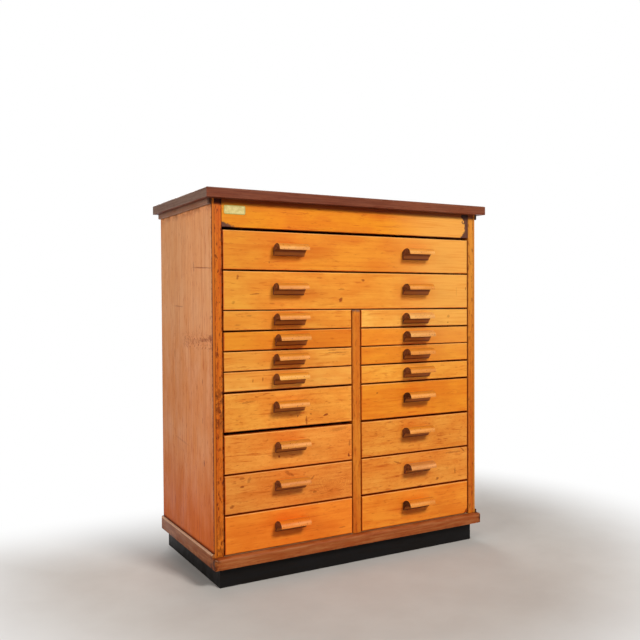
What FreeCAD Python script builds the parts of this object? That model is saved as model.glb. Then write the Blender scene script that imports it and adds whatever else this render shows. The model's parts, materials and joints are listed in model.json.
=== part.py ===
import FreeCAD, Part
import os

# Workshop chest of drawers: two wide drawers over two columns of eight narrow ones.
# The drawers hang on battens inside a framed and panelled case on a dark plinth.
# Millimetres. X runs along the front, -Y faces the user and +Z is up. The origin is
# on the floor, under the middle of the overall box. Shapes are worked out with the
# front plane of the case at y = 0 and moved to the origin when they are saved.

# Case
case_width = 815.5
case_depth = 398.0
panel_thickness = 5.0
stile_width = 20.0
stile_depth = 30.0
post_depth = 30.0
centre_stile_width = 25.0
partition_thickness = 18.0
middle_board_thickness = 12.0
back_thickness = 5.0
stile_easing = 1.0

# Top
top_thickness = 24.0
top_overhang_side = 21.5
top_overhang_front = 22.0
top_overhang_back = 4.0
top_easing = 1.5
top_strip_projection = 7.0
top_strip_height = 13.0
top_strip_easing = 1.5
top_rail_height = 60.0
top_rail_thickness = 20.0
cleat_height = 20.0
fascia_height = 67.0
fascia_gap = 5.0
fascia_thickness = 18.0

# Base and plinth
bottom_thickness = 26.0
rail_projection = 19.0
rail_rounding = 6.0
base_strip_projection = 6.0
base_strip_rise = 10.0
base_strip_rounding = 4.0
base_strip_easing = 2.0
plinth_height = 52.0
plinth_thickness = 20.0
plinth_inset_side = 14.5
plinth_inset_front = 4.0
plinth_block_leg = 40.0
plinth_block_gap = 4.0

# Rows of drawers, counted from the top of each group
small_pitch = 50.0
large_pitch = 100.0
wide_pitch = 100.0
small_rows = 4
large_rows = 4
wide_rows = 2

# Drawer box
row_gap = 2.4
side_gap = 3.0
front_thickness = 18.0
front_easing = 0.8
side_thickness = 11.0
back_board_thickness = 10.0
box_rise = 6.0
box_drop = 8.0
back_board_drop = 3.0
rear_space = 12.0
base_ply_thickness = 4.0
base_ply_lift = 5.0
base_groove_depth = 3.5
base_groove_play = 0.2
worn_corner_radius = 9.0

# Dovetails
front_tail_length = 12.0
tail_share = 0.6
tail_slope = 0.17
small_tails = 1
large_tails = 3

# Side hanging: a batten on the case runs in a groove of the drawer side
runner_height = 9.5
groove_depth = 6.0
groove_end_play = 0.5
groove_top_play = 0.2
groove_bottom_play = 0.8
stop_gap = 0.3

# Pull: a hooded lip that narrows a little towards its nose
pull_length = 87.0
pull_end_taper = 1.0
pull_height = 30.0
pull_reach = 36.0
pull_back_height = 20.0
crest_out = 20.0
crest_sagitta = 2.7
hood_sagitta = 3.5
nose_top = 17.5
nose_bottom = 14.0
nose_lean = 0.7
cove_sagitta = 3.5
flange_height = 12.5
flange_thickness = 12.0
flange_foot = 3.0
pull_raise = 3.0
small_pull_raise = -1.0
wide_pull_spacing = 396.0

# How the hand-fitted fronts differ from even rows: the drop of the top edge at its left
# and right end, and the drop of the lower edge
front_fits = {
    "wide_drawer_1": (2.6, 2.6, 0.3),
    "wide_drawer_2": (2.2, 2.2, 0.0),
    "left_drawer_1": (0.5, 0.0, 0.2),
    "left_drawer_2": (2.4, 0.2, 0.0),
    "left_drawer_3": (1.0, 0.8, 0.0),
    "left_drawer_4": (0.8, 0.6, 0.3),
    "left_drawer_5": (3.2, 3.2, -1.0),
    "left_drawer_6": (4.9, 5.3, 2.2),
    "left_drawer_7": (4.4, 4.0, 1.4),
    "left_drawer_8": (3.8, 3.6, 0.0),
    "right_drawer_1": (0.4, 1.8, 0.0),
    "right_drawer_2": (1.0, 2.2, 0.0),
    "right_drawer_3": (0.8, 0.0, 0.0),
    "right_drawer_4": (1.2, 2.2, 0.8),
    "right_drawer_5": (2.4, 3.6, 0.2),
    "right_drawer_6": (3.4, 3.9, 1.2),
    "right_drawer_7": (3.0, 3.8, 1.4),
    "right_drawer_8": (4.4, 4.2, 0.0),
}

# How far each pull stands to the right of and above its even place
pull_fits = {
    "wide_drawer_1": [(-3, -1), (-4, -2)],
    "wide_drawer_2": [(-5, 0), (-4, 1)],
    "left_drawer_1": [(-3, 3)],
    "left_drawer_2": [(0, 1)],
    "left_drawer_3": [(-5, 2)],
    "left_drawer_4": [(-5, 3)],
    "left_drawer_5": [(-6, 4)],
    "left_drawer_6": [(-2, 2)],
    "left_drawer_7": [(-3, 5)],
    "left_drawer_8": [(-3, 2)],
    "right_drawer_1": [(-4, 0)],
    "right_drawer_2": [(-1, 0)],
    "right_drawer_3": [(-2, 1)],
    "right_drawer_4": [(-1, 0)],
    "right_drawer_5": [(-1, 2)],
    "right_drawer_6": [(-5, 5)],
    "right_drawer_7": [(0, 4)],
    "right_drawer_8": [(-4, 2)],
}

# Levels and planes that the pieces share
half_width = case_width / 2
wall_x = half_width - panel_thickness
bay_outer = wall_x - stile_width
bay_inner = centre_stile_width / 2
back_inner = case_depth - back_thickness
post_front = back_inner - post_depth
runner_front = front_thickness + stop_gap
base_top = plinth_height + bottom_thickness
large_top = base_top + large_rows * large_pitch
columns_top = large_top + small_rows * small_pitch
rows_top = columns_top + wide_rows * wide_pitch
case_top = rows_top + fascia_gap + fascia_height
middle_low = columns_top - middle_board_thickness / 2
middle_high = columns_top + middle_board_thickness / 2
front_y = pull_reach - (pull_reach + case_depth + top_overhang_back) / 2

V = FreeCAD.Vector


def slab(x0, x1, y0, y1, z0, z1):
    low = V(min(x0, x1), min(y0, y1), min(z0, z1))
    size = V(abs(x1 - x0), abs(y1 - y0), abs(z1 - z0))
    return Part.makeBox(size.x, size.y, size.z, low)


def prism(points, direction):
    outline = Part.makePolygon(points + points[:1])
    return Part.Face(outline).extrude(direction)


def ease(solid, size, chosen):
    # Chamfer the straight edges whose two ends both pass the test
    edges = [e for e in solid.Edges if all(chosen(v.Point) for v in e.Vertexes)]
    return solid.makeChamfer(size, edges)


def near(a, b):
    return abs(a - b) < 1e-6


def arc(start, end, sagitta):
    # An arc that stands out by its sagitta to the left of the way from start to end
    chord = end - start
    middle = (start + end) * 0.5
    left = V(0, chord.z, -chord.y).normalize()
    return Part.Arc(start, middle + left * sagitta, end).toShape()


def line(start, end):
    return Part.LineSegment(start, end).toShape()


def save(name, solids):
    shape = solids[0] if len(solids) == 1 else Part.Compound(solids)
    shape.translated(V(0, front_y, 0)).exportStep("parts/" + name + ".step")


class Bay:
    # The opening for one drawer, and the levels that its box and battens share

    def __init__(self, name, left, right, low, high, tails, centres, raised):
        self.name = name
        self.left = left
        self.right = right
        self.tails = tails
        self.front_left = left + side_gap
        self.front_right = right - side_gap
        self.front_low = low + row_gap
        self.front_high = high
        self.side_low = self.front_low + box_rise
        self.side_high = self.front_high - box_drop
        self.base_low = self.side_low + base_ply_lift
        self.back_low = self.base_low + base_ply_thickness
        self.back_high = self.side_high - back_board_drop
        self.runner_low = (self.back_low + self.back_high - runner_height) / 2
        self.drops = front_fits[name]
        pull_low = (self.front_low + self.front_high - pull_height) / 2 + raised
        self.pulls = [(x + shift, pull_low + lift)
                      for x, (shift, lift) in zip(centres, pull_fits[name])]
        self.worn = False

    def outer_face(self, side):
        return self.front_left if side < 0 else self.front_right


# Case pieces

def top_board():
    board = slab(-half_width - top_overhang_side, half_width + top_overhang_side,
                 -top_overhang_front, case_depth + top_overhang_back,
                 case_top, case_top + top_thickness)
    board = ease(board, top_easing, lambda p: near(p.z, case_top + top_thickness))
    return ease(board, top_easing / 2, lambda p: near(p.z, case_top))


def top_strip(side):
    outer = half_width + top_strip_projection
    strip = slab(side * half_width, side * outer, 0, case_depth, case_top - top_strip_height, case_top)
    low = case_top - top_strip_height
    return ease(strip, top_strip_easing, lambda p: near(abs(p.x), outer) and near(p.z, low))


def side_panel(side):
    return slab(side * wall_x, side * half_width, 0, case_depth, plinth_height, case_top)


def front_stile(side):
    stile = slab(side * bay_outer, side * wall_x, 0, stile_depth, base_top, case_top)
    return ease(stile, stile_easing, lambda p: near(abs(p.x), bay_outer) and near(p.y, 0))


def back_post(side):
    return slab(side * bay_outer, side * wall_x, post_front, back_inner, base_top, case_top)


def fascia_board():
    low = rows_top + fascia_gap
    board = slab(-bay_outer, bay_outer, 0, fascia_thickness, low, case_top)
    return ease(board, front_easing, lambda p: near(p.y, 0) and near(p.z, low))


def centre_stile():
    stile = slab(-bay_inner, bay_inner, 0, runner_front, base_top, columns_top)
    return ease(stile, stile_easing, lambda p: near(p.y, 0))


def middle_board():
    board = slab(-wall_x, wall_x, runner_front, back_inner, middle_low, middle_high)
    corners = [front_stile(side) for side in (-1, 1)] + [back_post(side) for side in (-1, 1)]
    return board.cut(corners).Solids[0].cut(centre_stile()).Solids[0]


def centre_partition():
    half = partition_thickness / 2
    return slab(-half, half, runner_front, back_inner, base_top, middle_low)


def bottom_board():
    return slab(-wall_x, wall_x, 0, back_inner, plinth_height, base_top)


def back_panel():
    return slab(-wall_x, wall_x, back_inner, case_depth, plinth_height, case_top)


def top_rail():
    front = back_inner - top_rail_thickness
    return slab(-bay_outer, bay_outer, front, back_inner, case_top - top_rail_height, case_top)


def top_cleat(side):
    low = case_top - cleat_height
    return slab(side * bay_outer, side * wall_x, stile_depth, post_front, low, case_top)


def base_rail():
    # A board planted on the front edge of the bottom, its upper front edge rounded
    rail = slab(-half_width, half_width, -rail_projection, 0, plinth_height, base_top)
    edges = [e for e in rail.Edges
             if all(near(v.Y, -rail_projection) and near(v.Z, base_top) for v in e.Vertexes)]
    return rail.makeFillet(rail_rounding, edges)


def base_strip(side):
    # A strip that covers the foot of the side panel and, lower, the end of the base rail
    high = base_top + base_strip_rise
    outline = [(-rail_projection, plinth_height), (case_depth, plinth_height), (case_depth, high),
               (0, high), (0, base_top), (-rail_projection, base_top)]
    points = [V(side * half_width, y, z) for y, z in outline]
    strip = prism(points, V(side * base_strip_projection, 0, 0))
    outer = half_width + base_strip_projection
    edges = [e for e in strip.Edges
             if all(near(abs(v.X), outer) and v.Z > base_top - 1 for v in e.Vertexes)]
    strip = strip.makeFillet(base_strip_rounding, [e for e in edges if e.Length > case_depth - 1])
    return ease(strip, base_strip_easing, lambda p: near(p.y, -rail_projection)
                and (near(abs(p.x), outer) or near(p.z, base_top)))


# Plinth

plinth_outer = half_width - plinth_inset_side
plinth_inner = plinth_outer - plinth_thickness
plinth_front_inner = plinth_inset_front + plinth_thickness
plinth_back_inner = case_depth - plinth_thickness


def plinth_front():
    return slab(-plinth_outer, plinth_outer, plinth_inset_front, plinth_front_inner, 0, plinth_height)


def plinth_back():
    return slab(-plinth_outer, plinth_outer, plinth_back_inner, case_depth, 0, plinth_height)


def plinth_side(side):
    return slab(side * plinth_inner, side * plinth_outer,
                plinth_front_inner, plinth_back_inner, 0, plinth_height)


def plinth_block(side, corner_y, inward):
    # A three-cornered block glued into an inner corner of the plinth
    corner = V(side * plinth_inner, corner_y, plinth_block_gap)
    along_x = corner - V(side * plinth_block_leg, 0, 0)
    along_y = corner + V(0, inward * plinth_block_leg, 0)
    height = plinth_height - plinth_block_gap
    return prism([corner, along_x, along_y], V(0, 0, height))


def plinth_blocks():
    places = [(plinth_front_inner, 1), (plinth_back_inner, -1)]
    return [plinth_block(side, y, inward) for side in (-1, 1) for y, inward in places]


# Battens that carry the drawers

runner_reach = side_gap + groove_depth - groove_end_play


def wall_runner(bay, side):
    # Fixed to the side panel, and notched round the stile and the post at its ends
    tip = side * (bay_outer - runner_reach)
    face = side * bay_outer
    wall = side * wall_x
    plan = [(tip, runner_front), (face, runner_front), (face, stile_depth), (wall, stile_depth),
            (wall, post_front), (face, post_front), (face, back_inner), (tip, back_inner)]
    return prism([V(x, y, bay.runner_low) for x, y in plan], V(0, 0, runner_height))


def partition_runner(bay, side):
    tip = side * (bay_inner + runner_reach)
    root = side * partition_thickness / 2
    high = bay.runner_low + runner_height
    return slab(root, tip, runner_front, back_inner, bay.runner_low, high)


# Drawer pieces

box_rear = back_inner - rear_space
rear_shoulder = box_rear - back_board_thickness
front_tail_tip = front_thickness - front_tail_length


def tail_outline(shoulder, tip, low, high, count):
    # Corners of the dovetails between two levels, from the lowest one up
    pitch = (high - low) / count
    narrow = pitch * tail_share / 2
    wide = narrow + abs(tip - shoulder) * tail_slope
    corners = []
    for index in range(count):
        centre = low + pitch * (index + 0.5)
        corners += [(shoulder, centre - narrow), (tip, centre - wide),
                    (tip, centre + wide), (shoulder, centre + narrow)]
    return corners


def plain_side(bay, side):
    # The side board before grooving: lapped tails in front, through tails behind
    outline = [(front_thickness, bay.side_low)]
    outline += tail_outline(front_thickness, front_tail_tip, bay.side_low, bay.side_high, bay.tails)
    outline += [(front_thickness, bay.side_high), (box_rear, bay.side_high),
                (box_rear, bay.back_high), (rear_shoulder, bay.back_high)]
    rear = tail_outline(rear_shoulder, box_rear, bay.back_low, bay.back_high, bay.tails)
    outline += rear[::-1]
    outline += [(rear_shoulder, bay.back_low), (box_rear, bay.back_low), (box_rear, bay.side_low)]
    outer = bay.outer_face(side)
    points = [V(outer, y, z) for y, z in outline]
    return prism(points, V(-side * side_thickness, 0, 0))


def base_ply(bay, play=0.0):
    reach = side_thickness - base_groove_depth
    return slab(bay.front_left + reach - play, bay.front_right - reach + play,
                front_thickness - base_groove_depth - play, box_rear,
                bay.base_low - play / 2, bay.back_low + play / 2)


def runner_groove(bay, side):
    outer = bay.outer_face(side)
    low = bay.runner_low - groove_bottom_play
    high = bay.runner_low + runner_height + groove_top_play
    return slab(outer, outer - side * groove_depth, front_thickness, box_rear, low, high)


def drawer_front(bay, sides):
    left_drop, right_drop, foot_drop = bay.drops
    low = bay.front_low - foot_drop
    corners = [(bay.front_left, low), (bay.front_right, low),
               (bay.front_right, bay.front_high - right_drop),
               (bay.front_left, bay.front_high - left_drop)]
    board = prism([V(x, 0, z) for x, z in corners], V(0, front_thickness, 0))
    if bay.worn:
        edges = [e for e in board.Edges
                 if all(near(v.X, bay.front_right) and near(v.Z, low) for v in e.Vertexes)]
        board = board.makeFillet(worn_corner_radius, edges)
    board = ease(board, front_easing, lambda p: near(p.y, 0))
    return board.cut(sides + [base_ply(bay, base_groove_play)]).Solids[0]


def drawer_back(bay, sides):
    board = slab(bay.front_left, bay.front_right, rear_shoulder, box_rear, bay.back_low, bay.back_high)
    return board.cut(sides).Solids[0]


def drawer_box(bay):
    plain = [plain_side(bay, side) for side in (-1, 1)]
    groove = base_ply(bay, base_groove_play)
    sides = [plain[i].cut([runner_groove(bay, side), groove]).Solids[0]
             for i, side in enumerate((-1, 1))]
    return [drawer_front(bay, plain), sides[0], sides[1], drawer_back(bay, plain), base_ply(bay)]


def pull_section(x, low):
    # Side view of the pull: y is the distance out from the drawer front
    def at(out, up):
        return V(x, -out, low + up)
    back_low = at(0, 0)
    back_high = at(0, pull_back_height)
    crest = at(crest_out, pull_height)
    nose_high = at(pull_reach - nose_lean, nose_top)
    nose_low = at(pull_reach, nose_bottom)
    flange_top = at(flange_thickness, flange_height)
    foot = at(flange_foot, 0)
    edges = [line(back_low, back_high),
             arc(back_high, crest, crest_sagitta),
             arc(crest, nose_high, hood_sagitta),
             line(nose_high, nose_low),
             arc(nose_low, flange_top, -cove_sagitta),
             line(flange_top, foot),
             line(foot, back_low)]
    return Part.Face(Part.Wire(edges))


def pull(centre, low):
    half = pull_length / 2
    lip = pull_section(centre - half, low).extrude(V(pull_length, 0, 0))
    corners = [(-half, 0), (half, 0), (half - pull_end_taper, -pull_reach),
               (-half + pull_end_taper, -pull_reach)]
    plan = [V(centre + x, y, low) for x, y in corners]
    return lip.common(prism(plan, V(0, 0, pull_height))).Solids[0]


# Bays, from the top of the chest down

def make_bays():
    bays = []
    spread = wide_pull_spacing / 2
    for row in range(wide_rows):
        high = rows_top - row * wide_pitch
        bays.append(Bay("wide_drawer_%d" % (row + 1), -bay_outer, bay_outer, high - wide_pitch, high,
                        large_tails, [-spread, spread], pull_raise))
    for column, side in (("left", -1), ("right", 1)):
        left, right = sorted((side * bay_inner, side * bay_outer))
        centre = (left + right) / 2
        high = columns_top
        for row in range(small_rows + large_rows):
            small = row < small_rows
            pitch = small_pitch if small else large_pitch
            tails = small_tails if small else large_tails
            raised = small_pull_raise if small else pull_raise
            name = "%s_drawer_%d" % (column, row + 1)
            bays.append(Bay(name, left, right, high - pitch, high, tails, [centre], raised))
            high -= pitch
    bays[-1].worn = True
    return bays


def main():
    os.makedirs("parts", exist_ok=True)
    bays = make_bays()
    save("top_board", [top_board()])
    save("side_panel_left", [side_panel(-1)])
    save("side_panel_right", [side_panel(1)])
    save("top_strip_left", [top_strip(-1)])
    save("top_strip_right", [top_strip(1)])
    save("front_stile_left", [front_stile(-1)])
    save("front_stile_right", [front_stile(1)])
    save("back_posts", [back_post(-1), back_post(1)])
    save("fascia_board", [fascia_board()])
    save("centre_stile", [centre_stile()])
    save("centre_partition", [centre_partition()])
    save("middle_board", [middle_board()])
    save("bottom_board", [bottom_board()])
    save("back_panel", [back_panel()])
    save("top_rail", [top_rail()])
    save("top_cleats", [top_cleat(-1), top_cleat(1)])
    save("base_rail", [base_rail()])
    save("base_strip_left", [base_strip(-1)])
    save("base_strip_right", [base_strip(1)])
    save("plinth_front", [plinth_front()])
    save("plinth_back", [plinth_back()])
    save("plinth_sides", [plinth_side(-1), plinth_side(1)] + plinth_blocks())
    wall_runners = []
    partition_runners = []
    for bay in bays:
        for side, face in ((-1, bay.left), (1, bay.right)):
            if near(abs(face), bay_outer):
                wall_runners.append(wall_runner(bay, side))
            else:
                partition_runners.append(partition_runner(bay, -side))
        save(bay.name + "_box", drawer_box(bay))
        ending = "_pull" if len(bay.pulls) == 1 else "_pulls"
        save(bay.name + ending, [pull(centre, low) for centre, low in bay.pulls])
    save("wall_runners", wall_runners)
    save("partition_runners", partition_runners)


main()
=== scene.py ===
import bmesh
import bpy
import json
import math
from mathutils import Matrix, Vector

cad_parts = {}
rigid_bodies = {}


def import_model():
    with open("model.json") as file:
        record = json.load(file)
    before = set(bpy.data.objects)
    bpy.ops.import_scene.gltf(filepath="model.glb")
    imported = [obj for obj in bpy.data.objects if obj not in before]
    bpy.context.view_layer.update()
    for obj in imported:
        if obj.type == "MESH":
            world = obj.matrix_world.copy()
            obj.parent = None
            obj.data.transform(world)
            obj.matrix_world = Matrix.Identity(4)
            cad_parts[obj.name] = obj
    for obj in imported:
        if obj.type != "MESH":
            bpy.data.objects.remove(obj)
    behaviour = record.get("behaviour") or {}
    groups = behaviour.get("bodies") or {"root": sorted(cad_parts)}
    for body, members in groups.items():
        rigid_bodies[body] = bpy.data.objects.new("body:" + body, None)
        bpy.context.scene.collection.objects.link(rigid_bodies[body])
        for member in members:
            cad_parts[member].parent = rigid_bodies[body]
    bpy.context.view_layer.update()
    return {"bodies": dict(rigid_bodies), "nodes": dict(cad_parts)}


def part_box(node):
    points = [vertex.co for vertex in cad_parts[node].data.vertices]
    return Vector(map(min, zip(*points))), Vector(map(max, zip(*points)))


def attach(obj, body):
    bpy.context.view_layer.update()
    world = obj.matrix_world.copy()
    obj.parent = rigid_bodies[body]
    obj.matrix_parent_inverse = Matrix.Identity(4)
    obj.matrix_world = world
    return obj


# A wooden workshop chest of drawers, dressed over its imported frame.
# Metres, in the frame's own axes: X along the front, -Y towards the user, +Z up.
# Wood is a solid texture in those axes, so it runs through each board and rides with it.

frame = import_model()
nodes = frame["nodes"]
front_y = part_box("front_stile_left")[0].y
mm = 0.001
white_light = (1.0, 1.0, 1.0)

# Fronts whose pulls are lower than this have a darker painted shadow below the pulls
deep_shadow_below = 0.48

drawers = [name for name in frame["bodies"] if name != "case"]


# Writing node trees

class Shader:
    # One material and its node tree; each call adds a node and gives back its output

    def __init__(self, name):
        self.material = bpy.data.materials.new(name)
        self.material.use_nodes = True
        self.tree = self.material.node_tree
        self.surface = self.tree.nodes["Principled BSDF"]
        self.place = self.add("ShaderNodeTexCoord").outputs["Object"]
        self.normal = self.tree.nodes["Texture Coordinate"].outputs["Normal"]
        self.x, self.y, self.z = self.split(self.place)

    def feed(self, socket, value):
        if isinstance(value, bpy.types.NodeSocket):
            self.tree.links.new(value, socket)
        elif socket.type == "RGBA":
            socket.default_value = (*value, 1.0)
        else:
            socket.default_value = value

    def add(self, kind, inputs=None, **settings):
        node = self.tree.nodes.new(kind)
        for key, value in settings.items():
            setattr(node, key, value)
        for key, value in (inputs or {}).items():
            self.feed(node.inputs[key], value)
        return node

    def math(self, operation, a, b=0.0):
        return self.add("ShaderNodeMath", {0: a, 1: b}, operation=operation).outputs[0]

    def plus(self, a, b):
        return self.math("ADD", a, b)

    def minus(self, a, b):
        return self.math("SUBTRACT", a, b)

    def times(self, a, b):
        return self.math("MULTIPLY", a, b)

    def over(self, a, b):
        return self.math("DIVIDE", a, b)

    def least(self, a, b):
        return self.math("MINIMUM", a, b)

    def most(self, a, b):
        return self.math("MAXIMUM", a, b)

    def squares(self, a, b):
        return self.plus(self.times(a, a), self.times(b, b))

    def centred(self, value, width):
        # A value about 0.5 becomes one about 0, as wide as width
        return self.times(self.minus(value, 0.5), width)

    def split(self, vector):
        return self.add("ShaderNodeSeparateXYZ", {0: vector}).outputs

    def join(self, x, y, z):
        return self.add("ShaderNodeCombineXYZ", {0: x, 1: y, 2: z}).outputs[0]

    def scaled(self, x, y, z):
        # The place, with each axis multiplied: the smaller the number, the longer the pattern along it
        return self.join(self.times(self.x, x), self.times(self.y, y), self.times(self.z, z))

    def noise(self, vector, scale=1.0, detail=2.0, roughness=0.5):
        inputs = {"Vector": vector, "Scale": scale, "Detail": detail, "Roughness": roughness}
        return self.add("ShaderNodeTexNoise", inputs).outputs[0]

    def ease(self, value, low, high, start=0.0, end=1.0):
        # Runs smoothly from start to end as value goes from low to high
        inputs = {"Value": value, "From Min": low, "From Max": high, "To Min": start, "To Max": end}
        return self.add("ShaderNodeMapRange", inputs, interpolation_type="SMOOTHSTEP").outputs[0]

    def fade(self, value, low, high, start=1.0):
        # Runs smoothly from start to nothing
        return self.ease(value, low, high, start, 0.0)

    def blend(self, factor, a, b, mode="MIX"):
        inputs = {0: factor, 6: a, 7: b}
        return self.add("ShaderNodeMix", inputs, data_type="RGBA", blend_type=mode).outputs[2]

    def darken(self, colour, amount, tone):
        return self.blend(amount, colour, tone, "MULTIPLY")

    def finish(self, colour, roughness, height, depth, gloss=0.25):
        self.feed(self.surface.inputs["Base Color"], colour)
        self.feed(self.surface.inputs["Roughness"], roughness)
        self.surface.inputs["Specular IOR Level"].default_value = gloss
        inputs = {"Strength": 0.6, "Distance": depth, "Height": height}
        self.feed(self.surface.inputs["Normal"], self.add("ShaderNodeBump", inputs).outputs[0])
        return self.material


class Grain:
    # Growth rings, fibres and flecks of a board whose grain runs along one axis
    # close is how many broad streaks fit in a metre, about

    heart_depth, heart_side = 0.12, 0.03
    ring_spacing = 0.011
    ring_waver = 0.02

    def __init__(self, shader, axis, seed, close):
        s = shader
        order = {"x": (s.x, s.y, s.z), "y": (s.y, s.x, s.z), "z": (s.z, s.y, s.x)}[axis]
        along = s.plus(order[0], seed * 1.37)
        deep = s.plus(order[1], seed * 0.71)
        across = s.plus(order[2], seed * 0.53)
        slow = s.noise(s.join(s.times(along, 2.2), deep, s.times(across, 5.0)), 1.0, 3.0)
        bend = s.centred(slow, self.ring_waver)
        depth = s.plus(s.minus(order[1], front_y), self.heart_depth)
        side = s.plus(order[2], self.heart_side)
        radius = s.math("SQRT", s.squares(depth, side))
        ring = s.math("FRACT", s.over(s.plus(radius, bend), self.ring_spacing))
        self.ring = s.times(s.ease(ring, 0.15, 0.8), s.fade(ring, 0.88, 1.0))

        def pattern(lengthwise, sideways, detail, roughness):
            place = s.join(s.times(along, lengthwise), s.times(deep, sideways), s.times(across, sideways))
            return s.noise(place, 1.0, detail, roughness)

        self.fibre = pattern(14.0, 500.0, 3.0, 0.6)
        self.streak = pattern(4.0, close, 3.0, 0.6)
        self.fleck = s.ease(pattern(45.0, 210.0, 3.0, 0.6), 0.58, 0.74)
        self.dash = s.ease(pattern(18.0, 190.0, 2.0, 0.5), 0.60, 0.72)
        self.cloud = pattern(9.0, 22.0, 4.0, 0.6)


def spots(shader, across, up, marks):
    # Strongest of some soft marks at each place, with ragged rims
    # Each mark is (across, up, half length, half height, slope, strength); the first four are in mm
    s = shader
    rough = s.centred(s.noise(s.scaled(160.0, 160.0, 420.0), 1.0, 3.0, 0.65), 3.2)
    total = None
    for a, b, length, height, slope, strength in marks:
        da = s.minus(across, a * mm)
        db = s.minus(up, b * mm)
        db = s.minus(db, s.times(da, slope))
        da = s.over(da, length * mm)
        db = s.over(db, height * mm)
        mark = s.fade(s.plus(s.squares(da, db), rough), 0.2, 1.3, strength)
        total = mark if total is None else s.most(total, mark)
    return total


def end_distance(s, low, high):
    # Distance from the nearer of the two ends, along X
    return s.least(s.minus(s.x, low.x), s.minus(high.x, s.x))


def front_edges(s, colour, cloud, low, high):
    # Dirt along the ends and the lower edge of a front, and a painted highlight along the worn upper one
    rough = s.centred(cloud, 0.006)
    near = s.plus(s.least(end_distance(s, low, high), s.minus(s.z, low.z)), rough)
    colour = s.darken(colour, s.fade(near, 0.0, 0.0026, 0.75), (0.74, 0.22, 0.05))
    # Painted highlight along the upper edge
    drop = s.plus(s.minus(high.z, s.z), s.times(rough, 0.4))
    return s.blend(s.fade(drop, 0.0014, 0.0030, 0.5), colour, (0.92, 0.44, 0.12))


def board(name, axis, tone, seed, rough=0.42, gloss=0.15, ring=0.25, fleck=0.7, streak=1.0, cloud=1.0,
          close=70.0, box=None, marks=(), plane="front", wear_and_light=None):
    # Lacquered or bare softwood whose grain runs along axis; tone is its middle colour
    # ring, fleck, streak and cloud are how strong each part of the grain is
    # box gives dirty edges and a painted highlight along the upper one; the last argument is a function
    # that changes the colour further, with wear and painted light
    s = Shader(name)
    g = Grain(s, axis, seed, close)
    light = (min(1.0, tone[0] * 1.04), tone[1] * 1.12, tone[2] * 1.25)
    dark = (tone[0] * 0.95, tone[1] * 0.82, tone[2] * 0.68)
    colour = s.blend(s.ease(g.cloud, 0.5 - 0.16 / cloud, 0.5 + 0.16 / cloud), light, dark)
    colour = s.darken(colour, s.ease(g.streak, 0.46, 0.72, 0.0, 0.6 * streak), (0.90, 0.70, 0.50))
    colour = s.darken(colour, s.times(g.ring, ring), (0.92, 0.72, 0.50))
    colour = s.darken(colour, s.ease(g.fibre, 0.45, 0.75, 0.0, 0.4), (0.88, 0.78, 0.66))
    colour = s.darken(colour, s.times(g.fleck, fleck), (0.68, 0.42, 0.26))
    colour = s.darken(colour, s.times(g.dash, fleck), (0.80, 0.54, 0.34))
    if wear_and_light is not None:
        colour = wear_and_light(s, colour)
    if box is not None:
        colour = front_edges(s, colour, g.cloud, *box)
    if marks:
        across = s.minus(s.y, front_y) if plane == "side" else s.x
        colour = s.darken(colour, spots(s, across, s.z, marks), (0.36, 0.16, 0.10))
    height = s.plus(s.times(g.fibre, 0.6), s.times(g.streak, 0.4))
    return s.finish(colour, s.ease(g.cloud, 0.3, 0.7, rough - 0.08, rough + 0.10), height, 0.0004, gloss)


def paint(material, *names):
    for name in names:
        mesh = nodes[name].data
        mesh.materials.clear()
        mesh.materials.append(material)


# Case

def fascia_wear(s, colour):
    # Finish chipped off along the right end and in the lower left corner, then painted shade with grime
    # below the top
    low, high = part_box("fascia_board")
    rough = s.centred(s.noise(s.place, 110.0, 4.0, 0.7), 0.045)
    rise = s.minus(s.z, low.z)
    upper = s.times(s.most(s.minus(rise, 0.030), 0.0), 0.34)
    lower = s.times(s.most(s.minus(0.020, rise), 0.0), 0.60)
    right = s.minus(s.minus(s.minus(high.x, s.x), upper), lower)
    right_part = s.fade(s.plus(right, rough), 0.011, 0.015)
    from_left = s.times(s.minus(s.x, low.x), 0.35)
    corner = s.plus(s.plus(from_left, rise), s.times(rough, 0.5))
    left_part = s.fade(corner, 0.010, 0.016)
    bare = s.blend(s.noise(s.place, 140.0), (0.055, 0.018, 0.010), (0.17, 0.062, 0.035))
    colour = s.blend(s.most(right_part, left_part), colour, bare)
    # Painted shade and grime below the top
    return overhang_shade_and_grime(s, colour, high.z)


def overhang_shade_and_grime(s, colour, level):
    # Grime and painted shade gathered below the overhang of the top
    return s.darken(colour, s.ease(s.z, level - 0.017, level - 0.005), (0.29, 0.14, 0.09))


def painted_sheen(s, colour):
    # Darker at the left end, and a painted sheen that pales the lacquer high on the right, with grain lines
    # drawn again over it
    colour = s.darken(colour, s.fade(s.x, -0.36, -0.20), (0.91, 0.97, 1.0))
    amount = s.times(s.ease(s.x, 0.06, 0.28), s.ease(s.z, 0.45, 0.75, 0.0, 0.85))
    colour = s.blend(amount, colour, (0.81, 0.37, 0.068))
    lines = s.scaled(7.0, 300.0, 330.0)
    grain = s.ease(s.noise(lines, 1.0, 4.0, 0.65), 0.46, 0.68)
    return s.darken(colour, s.times(grain, amount), (0.90, 0.72, 0.50))


def oval(s, x, z, half_length, half_height):
    # 0 in the middle of an oval on the front, 1 on its rim
    return s.squares(s.over(s.minus(s.x, x), half_length), s.over(s.minus(s.z, z), half_height))


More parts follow.
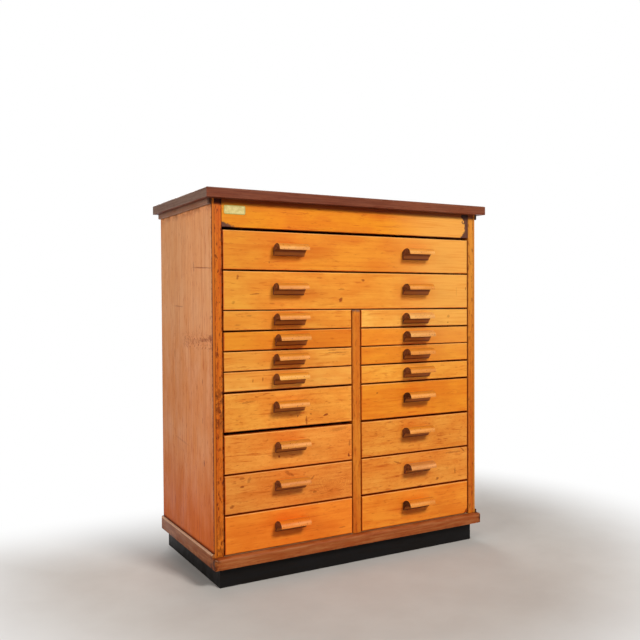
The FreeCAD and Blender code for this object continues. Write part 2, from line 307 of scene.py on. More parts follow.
def handled_with_painted_light(places, curly, mottled):
    # Redder and darker where hands have rubbed the front around its pulls, over the painted sheen, and a
    # painted shadow below each pull
    def look(s, colour):
        colour = painted_sheen(s, colour)
        if curly:
            colour = swirled(s, colour)
        if mottled:
            short = s.noise(s.scaled(90.0, 200.0, 230.0), 1.0, 5.0, 0.75)
            colour = s.darken(colour, s.ease(short, 0.48, 0.66, 0.0, 0.6), (0.86, 0.68, 0.52))
        blot = s.centred(s.noise(s.place, 26.0, 3.0, 0.6), 2.4)
        for x, z in places:
            around = s.plus(oval(s, x, z, 0.075, 0.030), blot)
            colour = s.darken(colour, s.fade(around, 0.3, 1.7, 0.42), (0.96, 0.79, 0.60))
            # Painted shadow below the pull, darker on the lower fronts
            tone = (0.66, 0.52, 0.42) if z < deep_shadow_below else (0.97, 0.78, 0.58)
            colour = s.darken(colour, painted_pull_shadow(s, x, z), tone)
        return colour
    return look


def painted_pull_shadow(s, x, z):
    # Painted shadow, with some hand dirt, on the front just below a pull, a little to its left
    ragged = s.centred(s.noise(s.place, 60.0, 3.0, 0.6), 1.2)
    return s.fade(s.plus(oval(s, x - 0.005, z - 0.020, 0.052, 0.013), ragged), 0.3, 1.3, 0.7)


def swirled(s, colour):
    # Curly grain at the right of the seventh left front, in flattened rings around one place
    curl_x, curl_z = -0.070, 0.222
    across = s.minus(s.x, curl_x)
    up = s.times(s.minus(s.z, curl_z), 1.7)
    away = s.math("SQRT", s.squares(across, up))
    bent = s.plus(away, s.times(s.noise(s.place, 32.0, 3.0), 0.035))
    lines = s.ease(s.math("FRACT", s.over(bent, 0.0065)), 0.3, 0.9)
    return s.darken(colour, s.times(lines, s.fade(away, 0.030, 0.085, 0.55)), (0.84, 0.62, 0.46))


def fascia_look(s, colour):
    # Toned as the fronts are, with their painted sheen, then worn at its ends
    return fascia_wear(s, painted_sheen(s, colour))


def side_look(s, colour):
    # Paler above and deeper orange towards the foot, a painted reflection of the light, with the front edge
    # finished as the stiles
    # A dark joint line runs along the stile, and the left panel has a band of specks near the front
    # Painted reflection: the upper part paler, the foot deeper orange
    colour = s.darken(colour, s.fade(s.z, 0.40, 0.76), (0.87, 0.69, 0.50))
    colour = s.darken(colour, s.fade(s.z, 0.09, 0.37), (0.87, 0.49, 0.12))
    lines = s.noise(s.scaled(300.0, 300.0, 3.0), 1.0, 4.0, 0.65)
    colour = s.darken(colour, s.ease(lines, 0.46, 0.66, 0.0, 0.8), (0.82, 0.68, 0.58))
    colour = s.darken(colour, s.ease(s.y, front_y + 0.12, front_y + 0.30), (0.90, 0.91, 0.90))
    shade_blotches = s.ease(s.noise(s.place, 45.0, 4.0, 0.6), 0.40, 0.62)
    ragged = s.centred(s.noise(s.place, 150.0, 4.0, 0.65), 0.012)
    front = s.fade(s.plus(s.y, ragged), front_y + 0.0035, front_y + 0.0085, 0.95)
    colour = s.darken(colour, front, (0.20, 0.09, 0.05))
    band = s.times(s.ease(s.z, 0.575, 0.59), s.fade(s.z, 0.605, 0.635))
    band = s.times(band, s.fade(s.y, front_y + 0.16, front_y + 0.26))
    band = s.times(band, s.fade(s.x, -0.1, 0.1))
    specks = s.ease(s.noise(s.place, 170.0, 3.0, 0.6), 0.52, 0.64)
    colour = s.darken(colour, s.times(band, specks), (0.58, 0.36, 0.30))
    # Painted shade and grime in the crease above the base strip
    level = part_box("base_strip_left")[1].z
    foot = s.fade(s.z, level + 0.001, level + 0.008, 0.85)
    colour = s.darken(colour, foot, (0.45, 0.30, 0.22))
    # Painted shade high up, below the strip under the top
    shaded = s.times(s.ease(s.z, 0.915, 0.94), shade_blotches)
    colour = s.darken(colour, shaded, (0.55, 0.42, 0.36))
    ny = s.split(s.normal)[1]
    edge = s.blend(s.ease(s.x, -0.1, 0.1), (0.50, 0.125, 0.010), (0.56, 0.19, 0.020))
    return s.blend(s.fade(ny, -0.9, -0.6), colour, edge)


def edge_grime(s, colour, centre, half, amount=0.85):
    # Dark rubbed-in dirt along both edges of an upright, and specks all over it
    away = s.minus(half, s.math("ABSOLUTE", s.minus(s.x, centre)))
    ragged = s.centred(s.noise(s.place, 70.0, 4.0, 0.65), 0.008)
    colour = s.darken(colour, s.fade(s.plus(away, ragged), 0.0, 0.004, amount), (0.34, 0.20, 0.16))
    specks = s.ease(s.noise(s.scaled(170.0, 170.0, 55.0), 1.0, 4.0, 0.65), 0.54, 0.64)
    colour = s.darken(colour, s.times(specks, amount), (0.28, 0.15, 0.12))
    lines = s.noise(s.scaled(420.0, 420.0, 7.0), 1.0, 4.0, 0.65)
    return s.darken(colour, s.ease(lines, 0.44, 0.66, 0.0, amount), (0.74, 0.52, 0.36))


def left_stile_look(s, colour):
    # Darker half way down and at its foot, where it was handled, and painted shade with grime below the top
    low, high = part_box("front_stile_left")
    patch = s.times(s.ease(s.z, 0.36, 0.42), s.fade(s.z, 0.47, 0.53))
    foot = s.fade(s.z, 0.09, 0.22)
    blot = s.ease(s.noise(s.place, 60.0, 4.0, 0.6), 0.42, 0.58)
    amount = s.times(s.most(patch, s.times(foot, 0.7)), blot)
    colour = s.darken(colour, amount, (0.42, 0.36, 0.34))
    colour = overhang_shade_and_grime(s, edge_grime(s, colour, (low.x + high.x) / 2, 0.010), high.z)
    # Painted shade at the stile's top end, under the top
    return s.darken(colour, s.ease(s.z, high.z - 0.016, high.z - 0.009), (0.26, 0.16, 0.12))


def right_stile_look(s, colour):
    # Paler towards its top, with painted shade and grime below the top
    low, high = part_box("front_stile_right")
    colour = s.blend(s.ease(s.z, 0.45, 0.80, 0.0, 0.8), colour, (0.68, 0.27, 0.03))
    return overhang_shade_and_grime(s, edge_grime(s, colour, (low.x + high.x) / 2, 0.010, 0.6), high.z)


def centre_stile_look(s, colour):
    # Its top end is worn grey
    worn = s.times(s.ease(s.z, 0.669, 0.676), s.ease(s.noise(s.place, 120.0, 3.0), 0.35, 0.5))
    colour = s.blend(worn, colour, (0.25, 0.12, 0.07))
    return edge_grime(s, colour, 0.0, 0.0125, 0.35)


def top_look(s, colour):
    # Darker towards the left, greyer on the end grain, streaked, and rubbed lighter along the upper edge,
    # partly a painted highlight
    nx = s.math("ABSOLUTE", s.split(s.normal)[0])
    colour = s.darken(colour, s.fade(s.x, -0.1, 0.35), (0.88, 0.85, 0.95))
    colour = s.blend(s.ease(nx, 0.7, 0.9, 0.0, 0.8), colour, (0.235, 0.155, 0.115))
    lines = s.noise(s.scaled(9.0, 9.0, 330.0), 1.0, 4.0, 0.65)
    colour = s.darken(colour, s.ease(lines, 0.40, 0.66, 0.0, 0.8), (0.62, 0.52, 0.50))
    upper = s.ease(s.split(s.normal)[2], 0.8, 0.95)
    grain = s.noise(s.scaled(4.0, 190.0, 0.0), 1.0, 5.0, 0.7)
    colour = s.darken(colour, s.times(upper, s.ease(grain, 0.40, 0.66)), (0.70, 0.56, 0.50))
    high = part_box("top_board")[1].z
    # Painted highlight, with wear, along the upper edge
    highlight_wobble = s.times(s.noise(s.place, 50.0, 4.0, 0.6), 0.004)
    level = s.plus(s.minus(high, s.z), highlight_wobble)
    return s.blend(s.fade(level, 0.002, 0.005, 0.5), colour, (0.30, 0.15, 0.10))


def strip_end_shade(s, colour):
    # Painted shade on its front end, under the top
    ragged = s.centred(s.noise(s.place, 90.0, 4.0, 0.6), 0.02)
    end = s.fade(s.plus(s.y, ragged), front_y + 0.006, front_y + 0.016, 0.9)
    return s.darken(colour, end, (0.20, 0.14, 0.11))


def base_look(edge):
    # Streaked along its length, dirty just above the plinth, black at the front corners, and with painted
    # shade on its top in front of the fronts edge, from 0 to 1, is how strong the painted highlight along
    # the rounded upper edge is
    def look(s, colour):
        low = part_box("base_rail")[0]
        streaks = s.ease(s.noise(s.scaled(10.0, 10.0, 170.0), 1.0, 5.0, 0.7), 0.42, 0.66)
        colour = s.blend(s.times(streaks, 0.5), colour, (0.44, 0.17, 0.055))
        # Painted highlight on the rounded upper edge and along a line below the strips' top
        nz = s.split(s.normal)[2]
        rounded = s.times(s.ease(nz, 0.1, 0.35), s.fade(nz, 0.93, 0.99))
        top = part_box("base_strip_left")[1].z - 0.0035
        line = s.fade(s.math("ABSOLUTE", s.minus(s.z, top)), 0.0010, 0.0026)
        line = s.times(line, s.ease(s.y, front_y + 0.002, front_y + 0.006))
        colour = s.blend(s.times(s.most(rounded, line), edge), colour, (0.72, 0.42, 0.25))
        blot = s.ease(s.noise(s.place, 80.0, 4.0, 0.6), 0.40, 0.60)
        dirt = s.times(s.ease(s.z, low.z, low.z + 0.014, 0.25 + 0.75 * edge, 0.3 * edge), blot)
        colour = s.darken(colour, dirt, (0.50, 0.40, 0.36))
        corner = s.times(s.fade(s.y, front_y + 0.004, front_y + 0.016), blot)
        ends = s.ease(s.math("ABSOLUTE", s.x), 0.395, 0.412)
        colour = s.darken(colour, s.times(corner, ends), (0.22, 0.13, 0.10))
        # Painted shade on the rail's top where it meets the fronts
        shade_at_fronts = s.times(s.ease(s.y, front_y - 0.004, front_y - 0.001), s.ease(nz, 0.9, 0.99))
        return s.darken(colour, shade_at_fronts, (0.35, 0.18, 0.12))
    return look


# Marks of the left side panel, as in spots; the first number is the distance behind the stile's front
side_marks = [
    (67, 298, 4, 8, 0.0, 0.8), (73, 502, 3, 8, 0.0, 0.5), (75, 403, 3, 8, 0.0, 0.4),
    (18, 612, 12, 9, 0.0, 0.75), (60, 606, 36, 5, -0.05, 0.5), (150, 600, 70, 6, 0.0, 0.15),
    (70, 786, 70, 2, 0.05, 0.65), (250, 690, 40, 2, 0.04, 0.4), (16, 662, 5, 5, 0.0, 0.4),
    (130, 790, 6, 14, 0.5, 0.35), (285, 560, 3, 14, 0.0, 0.5), (230, 330, 60, 3, 0.1, 0.2)]

paint(board("top_wood", "x", (0.215, 0.063, 0.026), 3.1, 0.4, ring=0.2, streak=1.6, wear_and_light=top_look),
      "top_board")
for end, seed, marks in (("left", 5.3, side_marks), ("right", 9.7, ())):
    paint(board("side_wood_" + end, "z", (0.82, 0.392, 0.176), seed, 0.5, gloss=0.12, ring=0.10, fleck=0.8,
                streak=0.55, cloud=0.3, close=170.0, marks=marks, plane="side", wear_and_light=side_look),
          "side_panel_" + end)
paint(board("strip_wood", "y", (0.27, 0.13, 0.075), 4.2, 0.45, wear_and_light=strip_end_shade), "top_strip_left")
# The right strip is drawn near black as painted shade
paint(board("strip_wood_dark", "y", (0.05, 0.024, 0.016), 4.8, 0.45), "top_strip_right")
for end, tone, seed, streak, look in (
        ("left", (0.62, 0.165, 0.010), 6.1, 2.2, left_stile_look),
        ("right", (0.60, 0.172, 0.011), 7.9, 2.0, right_stile_look)):
    paint(board("stile_wood_" + end, "z", tone, seed, streak=streak, wear_and_light=look), "front_stile_" + end)
paint(board("stile_wood_centre", "z", (0.64, 0.19, 0.014), 8.4, streak=1.6, wear_and_light=centre_stile_look),
      "centre_stile")
paint(board("fascia_wood", "x", (0.77, 0.25, 0.008), 2.3, wear_and_light=fascia_look), "fascia_board")
for name, axis, seed, inner_nodes in (
        ("inner_wood", "x", 1.9, ("middle_board", "bottom_board", "top_rail")),
        ("inner_wood_deep", "y", 2.7, ("wall_runners", "partition_runners", "top_cleats")),
        ("inner_wood_tall", "z", 3.6, ("back_posts", "centre_partition"))):
    paint(board(name, axis, (0.46, 0.27, 0.13), seed, 0.6), *inner_nodes)
paint(board("back_ply", "z", (0.42, 0.25, 0.13), 4.9, 0.6, streak=0.6, cloud=0.3), "back_panel")
paint(board("base_wood", "x", (0.29, 0.069, 0.013), 5.8, 0.5, wear_and_light=base_look(0.0)), "base_rail")
# The side strips get a strong painted highlight on their upper edge, the front rail none
paint(board("base_wood_side", "y", (0.25, 0.066, 0.010), 6.6, 0.38, wear_and_light=base_look(0.8)),
      "base_strip_left", "base_strip_right")
paint(board("plinth_paint", "x", (0.006, 0.005, 0.005), 7.1, 0.5),
      "plinth_front", "plinth_back", "plinth_sides")


# Drawers

# Tone of each front from the top down, how strong its flecks are, and the marks seen on it, as in spots
looks = {
    "wide_drawer_1": ((0.76, 0.255, 0.020), 0.5, [(-256, 799, 3, 3, 0, 0.5)]),
    "wide_drawer_2": ((0.79, 0.30, 0.032), 0.55, [
        (-342, 761, 4, 7, 0.3, 0.7), (21, 757, 6, 3, 0.0, 0.8), (-48, 705, 6, 6, 0.2, 0.9),
        (-294, 720, 14, 2, 0.1, 0.6), (-248, 696, 8, 2, 0.0, 0.4), (-354, 699, 5, 4, 0.0, 0.4),
        (-48, 732, 12, 2, 0.0, 0.4), (-112, 762, 10, 2, 0.0, 0.4), (340, 727, 1, 14, 0.0, 0.4),
        (374, 736, 2, 4, 0.0, 0.8)]),
    "left_drawer_1": ((0.80, 0.305, 0.034), 0.7, [
        (-311, 666, 8, 2, 0, 0.4), (-342, 643, 10, 2, 0, 0.4)]),
    "left_drawer_2": ((0.77, 0.245, 0.016), 0.5, []),
    "left_drawer_3": ((0.82, 0.335, 0.047), 0.7, [
        (-60, 566, 36, 2, 0.0, 0.55), (-74, 573, 14, 2, 0.0, 0.5), (-42, 561, 20, 1, 0.0, 0.4)]),
    "left_drawer_4": ((0.85, 0.37, 0.061), 0.7, [(-303, 505, 2, 5, 0, 0.7), (-276, 507, 2, 6, 0, 0.7)]),
    "left_drawer_5": ((0.83, 0.318, 0.040), 0.8, [
        (-95, 404, 7, 3, 0.2, 1.0), (-153, 393, 3, 12, 0.0, 0.8), (-178, 407, 2, 3, 0.0, 0.7),
        (-140, 410, 3, 2, 0.0, 0.7), (-317, 452, 22, 3, 0.1, 0.4)]),
    "left_drawer_6": ((0.81, 0.285, 0.040), 0.9, [
        (-56, 363, 26, 5, 0.1, 0.35), (-23, 323, 3, 9, 0.0, 0.5), (-26, 292, 3, 5, 0.0, 1.0),
        (-232, 308, 3, 4, 0.0, 0.9)]),
    "left_drawer_7": ((0.75, 0.245, 0.034), 0.8, [
        (-335, 264, 7, 4, 0.0, 0.5), (-315, 258, 6, 7, 0.5, 0.45), (-334, 243, 6, 3, 0.0, 0.8),
        (-208, 264, 9, 5, -0.6, 0.5), (-196, 258, 7, 4, -0.6, 0.45), (-136, 243, 5, 4, 0.8, 0.6),
        (-130, 206, 6, 3, 0.0, 0.5), (-362, 197, 6, 4, 0.2, 0.7)]),
    "left_drawer_8": ((0.84, 0.226, 0.018), 0.6, [
        (-175, 180, 8, 2, 0.1, 0.9), (-121, 177, 7, 3, 0.1, 1.0), (-46, 101, 10, 2, 0.0, 0.5)]),
    "right_drawer_1": ((0.86, 0.41, 0.070), 0.7, [(311, 657, 5, 5, 0, 0.4), (309, 639, 3, 2, 0, 0.6)]),
    "right_drawer_2": ((0.80, 0.26, 0.018), 0.5, []),
    "right_drawer_3": ((0.79, 0.27, 0.017), 0.6, []),
    "right_drawer_4": ((0.85, 0.36, 0.042), 0.7, []),
    "right_drawer_5": ((0.78, 0.255, 0.014), 0.5, [(65, 451, 4, 2, 0.0, 0.7)]),
    "right_drawer_6": ((0.75, 0.277, 0.034), 1.0, [(108, 368, 10, 2, 0.0, 0.4)]),
    "right_drawer_7": ((0.775, 0.292, 0.040), 0.9, [
        (328, 264, 32, 3, 0.0, 0.5), (334, 211, 2, 10, 0.0, 0.7), (269, 194, 6, 4, 0.2, 0.8),
        (133, 254, 12, 3, -0.3, 0.6), (207, 181, 9, 3, 0.3, 0.6), (362, 268, 9, 3, -0.8, 0.7)]),
    "right_drawer_8": ((0.81, 0.255, 0.021), 0.6, [
        (164, 118, 4, 2, 0.0, 0.5), (376, 88, 9, 6, 0.8, 1.0)]),
}
inside_woods = [
    board("drawer_inside", "y", (0.60, 0.38, 0.19), 1.3, 0.6),
    board("drawer_inside_cross", "x", (0.58, 0.36, 0.18), 2.1, 0.6),
    board("drawer_base_ply", "x", (0.55, 0.37, 0.21), 3.4, 0.6),
    board("drawer_front_edge", "x", (0.46, 0.080, 0.006), 4.4, 0.8, 0.0)]

# Order of the materials on a drawer: its own front, then the four above
lacquered, bare_along, bare_across, base_ply, front_edge = range(5)

# Sizes of a drawer, in mm, by which the faces of its boards are told apart
front_thickness = 18.0
front_face_depth = 0.9
front_lap = 6.0
side_thickness = 11.0
lowest_side_of_three_tails = 60.0
base_bottom, base_top = 5.0, 9.0
slack = 0.05


def in_tail(out, z, low, high, count):
    # True on a front dovetail: the side board's own wood let into the end of the front
    pitch = (high - low) / count
    centre = low + pitch * (math.floor((z - low) / pitch) + 0.5)
    half = pitch * 0.3 + (front_thickness - out) * 0.17
    return front_lap < out < front_thickness and low < z < high and abs(z - centre) < half


def face_kinds(node):
    # Gives each face of a drawer its material; distances are in mm
    mesh = nodes[node].data
    low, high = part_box(node)
    side_points = [p.co.z for p in mesh.vertices if p.co.y > front_y + 0.1]
    side_low, side_high = min(side_points) / mm, max(side_points) / mm
    tails = 3 if side_high - side_low >= lowest_side_of_three_tails else 1
    for face in mesh.polygons:
        points = [mesh.vertices[i].co for i in face.vertices]
        depth = max(p.y - front_y for p in points) / mm
        from_side = max(min(p.x - low.x, high.x - p.x) for p in points) / mm
        level = min(p.z for p in points) / mm - side_low
        flat = abs(face.normal.z) > 0.9
        on_end = from_side < 0.1
        on_side = from_side < side_thickness + slack
        on_front = depth < front_thickness + slack
        middle = face.center
        tail = on_end and in_tail((middle.y - front_y) / mm, middle.z / mm, side_low, side_high, tails)
        if depth < front_face_depth:
            kind = lacquered
        elif flat and base_bottom - 0.1 < level < base_top + 0.1 and not on_side:
            kind = base_ply
        elif tail or (on_side and not on_front):
            kind = bare_along
        elif on_front and (on_end or flat):
            kind = front_edge
        else:
            kind = bare_across
        face.material_index = kind


def pull_node(name):
    return name + ("_pulls" if name.startswith("wide") else "_pull")


def pull_places(name):
    # Centre of each pull of a drawer, across and up
    half_length = 0.0435
    low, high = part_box(pull_node(name))
    if name.startswith("wide"):
        across = [low.x + half_length, high.x - half_length]
    else:
        across = [(low.x + high.x) / 2]
    return [(x, (low.z + high.z) / 2) for x in across]


for index, name in enumerate(drawers):
    node = name + "_box"
    tone, fleck, marks = looks[name]
    wear_and_light = handled_with_painted_light(pull_places(name), curly=name == "left_drawer_7", mottled=fleck >= 0.8)
    front = board(name + "_front", "x", tone, 1.0 + index * 1.7, fleck=fleck, marks=marks,
                  box=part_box(node), wear_and_light=wear_and_light)
    materials = nodes[node].data.materials
    materials.clear()
    for material in [front] + inside_woods:
        materials.append(material)
    face_kinds(node)


def pull_wood(name, tone, seed, foot, end_level):
    # Lacquer like the fronts, with a painted highlight along the lip, painted shade underneath and dark end
    # grain
    # foot is the height of the pull's lower edge, end_level dims its end grain
    s = Shader(name)
    g = Grain(s, "x", seed, 70.0)
    nx, ny, nz = s.split(s.normal)
    out = s.minus(front_y, s.y)
    red, green, blue = tone
    colour = s.blend(s.ease(g.streak, 0.35, 0.65), tone, (red * 0.92, green * 0.80, blue * 0.7))
    # Painted highlight on the upward faces of the lip
    lip_highlight = s.times(s.ease(out, 0.0305, 0.0345), s.ease(g.cloud, 0.35, 0.6, 0.9, 0.3))
    lip_highlight = s.times(lip_highlight, s.ease(nz, 0.05, 0.35))
    colour = s.blend(lip_highlight, colour, (0.84, green + 0.14, blue + 0.06))
    nicks = s.ease(s.noise(s.place, 300.0, 3.0, 0.6), 0.60, 0.68)
    nicks = s.times(nicks, s.ease(out, 0.02, 0.03))
    colour = s.darken(colour, nicks, (0.40, 0.25, 0.2))
    # Painted shade on the faces turned down, darkest towards the nose
    under = s.fade(nz, -0.3, 0.0)
    shade = s.blend(s.ease(out, 0.020, 0.034), (0.42, 0.120, 0.018), (0.13, 0.030, 0.005))
    colour = s.blend(under, colour, shade)
    chips = s.times(s.ease(s.noise(s.place, 190.0, 4.0, 0.7), 0.54, 0.60), s.ease(nz, 0.3, -0.1))
    colour = s.darken(colour, s.times(chips, s.ease(out, 0.028, 0.033)), (0.42, 0.28, 0.22))
    # Painted light on the flat back inside the hood, painted shade high up under the lip, and painted shade
    # with dirt along its foot and where it meets the front
    back = s.times(s.ease(ny, -0.9, -0.98), s.ease(out, 0.0135, 0.0125))
    colour = s.blend(back, colour, (0.92, green + 0.13, blue + 0.03))
    # Painted shade high inside the hood
    inside = s.times(s.fade(nz, -0.02, 0.03), s.fade(out, 0.030, 0.033))
    deep = s.times(inside, s.ease(s.z, foot + 0.0080, foot + 0.0120, 0.0, 0.85))
    colour = s.darken(colour, deep, (0.32, 0.22, 0.18))
    # Painted shade and dirt along the foot and where the pull meets the front
    colour = s.darken(colour, s.fade(s.z, foot + 0.0012, foot + 0.0032, 0.9), (0.24, 0.15, 0.12))
    colour = s.darken(colour, s.fade(out, 0.0010, 0.0025, 0.8), (0.35, 0.22, 0.18))
    end = s.ease(s.math("ABSOLUTE", nx), 0.6, 0.9)
    rough = s.ease(s.noise(s.place, 160.0, 3.0), 0.35, 0.65)
    grain_end = s.blend(rough, (0.065, 0.017, 0.007), (0.18, 0.052, 0.018))
    grain_end = s.darken(grain_end, 1.0, (end_level, end_level, end_level))
    colour = s.blend(end, colour, grain_end)
    return s.finish(colour, 0.42, g.fibre, 0.0003, 0.2)


# Most pulls have the first tone; these differ
pull_tone = (0.62, 0.205, 0.018)
pull_tones = {
    "wide_drawer_1": (0.68, 0.26, 0.036),
    "left_drawer_4": (0.70, 0.27, 0.028),
    "left_drawer_6": (0.58, 0.20, 0.022),
    "left_drawer_7": (0.56, 0.18, 0.020),
    "left_drawer_8": (0.68, 0.165, 0.010),
    "right_drawer_1": (0.72, 0.32, 0.075),
    "right_drawer_2": (0.70, 0.30, 0.070),
    "right_drawer_7": (0.56, 0.21, 0.045),
    "right_drawer_8": (0.68, 0.215, 0.018)}
dark_ended = ("right_drawer_5", "right_drawer_8")
for index, name in enumerate(drawers):
    node = pull_node(name)
    wood = pull_wood(name + "_pull_wood", pull_tones.get(name, pull_tone), 2.0 + index * 0.9,
                     foot=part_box(node)[0].z, end_level=0.45 if name in dark_ended else 1.0)
    paint(wood, node)


# Small fittings

right, left, up = Vector((1, 0, 0)), Vector((-1, 0, 0)), Vector((0, 0, 1))
forward, backward = Vector((0, -1, 0)), Vector((0, 1, 0))


def add_piece(name, shape, material, body):
    mesh = bpy.data.meshes.new(name)
    bmesh.ops.recalc_face_normals(shape, faces=shape.faces)
    shape.to_mesh(mesh)
    shape.free()
    mesh.materials.append(material)
    piece = bpy.data.objects.new(name, mesh)
    bpy.context.scene.collection.objects.link(piece)
    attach(piece, body)


def lid(shape, outline, place, across, up, out, rings):
    # A low solid on a flat outline; rings give its scale and height from the foot to the top
    loops = []
    for scale, height in rings:
        loops.append([shape.verts.new(place + across * (a * scale) + up * (b * scale) + out * height)
                      for a, b in outline])
    for lower, upper in zip(loops, loops[1:]):
        for i in range(len(outline)):
            j = (i + 1) % len(outline)
            shape.faces.new((lower[i], lower[j], upper[j], upper[i]))
    shape.faces.new(loops[0][::-1])
    shape.faces.new(loops[-1])


def arc_points(radius, start, end, steps):
    turns = [start + (end - start) * i / steps for i in range(steps + 1)]
    return [(radius * math.cos(turn), radius * math.sin(turn)) for turn in turns]


def slotted_head(shape, place, across, up, out, radius, tilt):
    # A domed screw head: a thin disc under two halves that leave the slot between them
    ring = arc_points(radius, 0.0, 2 * math.pi, 20)[:-1]
    lid(shape, ring, place, across, up, out, [(1.0, 0.0), (0.97, radius * 0.12)])
    gap = 0.16  # Half the slot's width, as an angle
    for turn in (tilt, tilt + math.pi):
        half = arc_points(radius * 0.95, turn + gap, turn + math.pi - gap, 9)
        lid(shape, half, place, across, up, out,
            [(1.0, radius * 0.10), (0.92, radius * 0.32), (0.72, radius * 0.46)])


def metal(name, tone, rough):
    s = Shader(name)
    rust = s.ease(s.noise(s.place, 420.0, 4.0, 0.6), 0.45, 0.62)
    colour = s.blend(rust, tone, (0.13, 0.06, 0.03))
    s.surface.inputs["Metallic"].default_value = 0.8
    return s.finish(colour, s.ease(rust, 0.0, 1.0, rough, 0.75), rust, 0.0001, 0.5)


# Middle of the label and half its size
label_x, label_z = -0.3485, 0.925
label_half_width, label_half_height = 0.0285, 0.011


def label_paper():
    # Aged paper under lacquer, greener towards its rim
    s = Shader("label_paper")
    across = s.minus(label_half_width, s.math("ABSOLUTE", s.minus(s.x, label_x)))
    rise = s.minus(label_half_height, s.math("ABSOLUTE", s.minus(s.z, label_z)))
    near = s.plus(s.least(across, rise), s.times(s.noise(s.place, 260.0, 3.0), 0.003))
    stained = s.ease(s.noise(s.place, 150.0, 4.0, 0.6), 0.35, 0.65)
    colour = s.blend(stained, (0.66, 0.56, 0.23), (0.54, 0.42, 0.14))
    colour = s.blend(s.fade(near, 0.002, 0.0045), colour, (0.36, 0.34, 0.07))
    return s.finish(colour, 0.45, stained, 0.0001)


def make_label():
    # A thin sheet with round corners, its foot just inside the board
    corner = 0.005
    wide, tall = label_half_width - corner, label_half_height - corner
    outline = []
    for index, (sx, sz) in enumerate(((1, 1), (-1, 1), (-1, -1), (1, -1))):
        start = index * math.pi / 2
        arc = arc_points(corner, start, start + math.pi / 2, 6)
        outline += [(sx * wide + a, sz * tall + b) for a, b in arc]
    shape = bmesh.new()
    lid(shape, outline, Vector((label_x, front_y, label_z)), right, up, forward,
        [(1.0, -0.0002), (1.0, 0.0003), (0.985, 0.0005)])
    add_piece("paper_label", shape, label_paper(), "case")


def make_pull_screws():
    # Two heads behind each pull, on the inner face of the front
    steel = metal("old_screw", (0.36, 0.33, 0.28), 0.4)
    offset, drop, head_radius = 26.0 * mm, 1.0 * mm, 4.0 * mm
    inner_face = front_y + front_thickness * mm
    for index, name in enumerate(drawers):
        shape = bmesh.new()
        for order, (x, z) in enumerate(pull_places(name)):
            for step, side in enumerate((-1, 1)):
                place = Vector((x + side * offset, inner_face, z - drop))
                tilt = 0.7 * index + 1.9 * order + 1.1 * step
                slotted_head(shape, place, left, up, backward, head_radius, tilt)
        add_piece(name + "_screws", shape, steel, name)


def make_back_nails():
    # Heads along the four edges of the back, a little out of line
    low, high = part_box("back_panel")
    inset, head_radius, unevenness = 0.011, 2.6 * mm, 1.5 * mm
    near, far = low.x + inset, high.x - inset
    foot, top = low.z + inset, high.z - inset
    places = []
    for i in range(11):
        level = foot + (top - foot) * i / 10
        places += [(near, level), (far, level)]
    for i in range(1, 9):
        across = near + (far - near) * i / 9
        places += [(across, foot), (across, top)]
    shape = bmesh.new()
    ring = arc_points(head_radius, 0.0, 2 * math.pi, 12)[:-1]
    for index, (x, z) in enumerate(places):
        wander = unevenness * math.sin(index * 2.4)
        lid(shape, ring, Vector((x + wander, high.y, z - wander)), left, up, backward,
            [(1.0, -0.0001), (1.0, 0.0003), (0.7, 0.0007)])
    add_piece("back_nails", shape, metal("nail_iron", (0.16, 0.14, 0.13), 0.55), "case")


make_label()
make_pull_screws()
make_back_nails()


# Floor, light and camera

def make_floor():
    # Pale and mottled near the chest, and shown as plain white further away and behind
    half_size = 12.0
    shape = bmesh.new()
    bmesh.ops.create_grid(shape, x_segments=1, y_segments=1, size=half_size)
    mesh = bpy.data.meshes.new("floor")
    shape.to_mesh(mesh)
    shape.free()
    floor = bpy.data.objects.new("floor", mesh)
    bpy.context.scene.collection.objects.link(floor)
    s = Shader("floor_plain")
    away = s.math("SQRT", s.squares(s.x, s.y))
    mottle = s.noise(s.place, 6.0, 4.0, 0.6)
    grey = s.blend(s.ease(mottle, 0.3, 0.7), (0.50, 0.465, 0.43), (0.53, 0.50, 0.465))
    s.finish(grey, 0.8, mottle, 0.0005)
    far = s.most(s.ease(away, 0.62, 1.25), s.ease(s.y, 0.02, 0.65))
    path = s.add("ShaderNodeLightPath").outputs
    seen = s.most(path["Is Camera Ray"], path["Is Glossy Ray"])
    white = s.add("ShaderNodeEmission", {"Color": white_light, "Strength": 1.0}).outputs[0]
    inputs = {0: s.times(far, seen), 1: s.surface.outputs[0], 2: white}
    mixed = s.add("ShaderNodeMixShader", inputs).outputs[0]
    s.feed(s.tree.nodes["Material Output"].inputs["Surface"], mixed)
    mesh.materials.append(s.material)


def make_lamp(name, place, target, size, power, colour):
    lamp = bpy.data.lights.new(name, "AREA")
    lamp.shape = "DISK"
    lamp.size = size
    lamp.energy = power
    lamp.color = colour
    holder = bpy.data.objects.new(name, lamp)
    holder.location = place
    holder.rotation_mode = "QUATERNION"
    holder.rotation_quaternion = (Vector(target) - Vector(place)).to_track_quat("-Z", "Y")
    bpy.context.scene.collection.objects.link(holder)


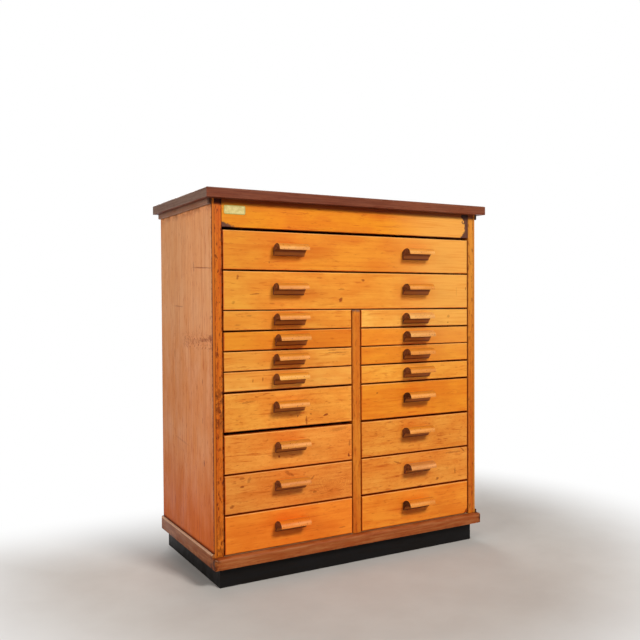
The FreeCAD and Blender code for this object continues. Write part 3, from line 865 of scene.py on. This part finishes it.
def make_world():
    # Even white, seen at full strength and lighting the chest at a part of it
    lighting = 0.18
    world = bpy.data.worlds.new("studio")
    world.use_nodes = True
    tree = world.node_tree
    background = tree.nodes["Background"]
    path = tree.nodes.new("ShaderNodeLightPath")
    seen = tree.nodes.new("ShaderNodeMath")
    seen.operation = "MAXIMUM"
    tree.links.new(path.outputs["Is Camera Ray"], seen.inputs[0])
    tree.links.new(path.outputs["Is Transmission Ray"], seen.inputs[1])
    level = tree.nodes.new("ShaderNodeMapRange")
    level.inputs["To Min"].default_value = lighting
    level.inputs["To Max"].default_value = 1.0
    tree.links.new(seen.outputs[0], level.inputs["Value"])
    tree.links.new(level.outputs[0], background.inputs["Strength"])
    background.inputs["Color"].default_value = (*white_light, 1.0)
    bpy.context.scene.world = world


def make_camera():
    # Place, turns in radians and focal length in millimetres
    place = (-1.0857, front_y - 1.7396, 0.6964)
    yaw, pitch, roll = 0.5106, -0.0221, -0.0055
    sensor_width, focal_length = 36.0, 43.14
    ahead = Vector((math.sin(yaw) * math.cos(pitch), math.cos(yaw) * math.cos(pitch), math.sin(pitch)))
    level = Vector((math.cos(yaw), -math.sin(yaw), 0.0))
    upright = level.cross(ahead)
    across = level * math.cos(roll) + upright * math.sin(roll)
    upward = upright * math.cos(roll) - level * math.sin(roll)
    data = bpy.data.cameras.new("camera")
    data.sensor_width = sensor_width
    data.lens = focal_length
    camera = bpy.data.objects.new("camera", data)
    turn = Matrix((across, upward, -ahead)).transposed().to_4x4()
    camera.matrix_world = Matrix.Translation(place) @ turn
    bpy.context.scene.collection.objects.link(camera)
    bpy.context.scene.camera = camera


make_floor()
make_world()
for name, place, target, size, power, colour in (
        ("key", (1.05, -4.8, 4.0), (0.0, 0.0, 0.5), 1.4, 274.0, (1.0, 0.995, 0.975)),
        ("fill", (-3.6, -1.2, 1.6), (0.0, 0.0, 0.5), 2.0, 72.0, white_light),
        ("back_glow", (0.8, 4.6, 3.4), (0.0, 0.0, 0.5), 3.0, 120.0, white_light),
        ("side_glow", (3.0, -2.8, 1.6), (0.0, 0.0, 0.6), 2.0, 8.0, white_light)):
    make_lamp(name, place, target, size, power, colour)
make_camera()
bpy.context.scene.view_settings.view_transform = "Standard"
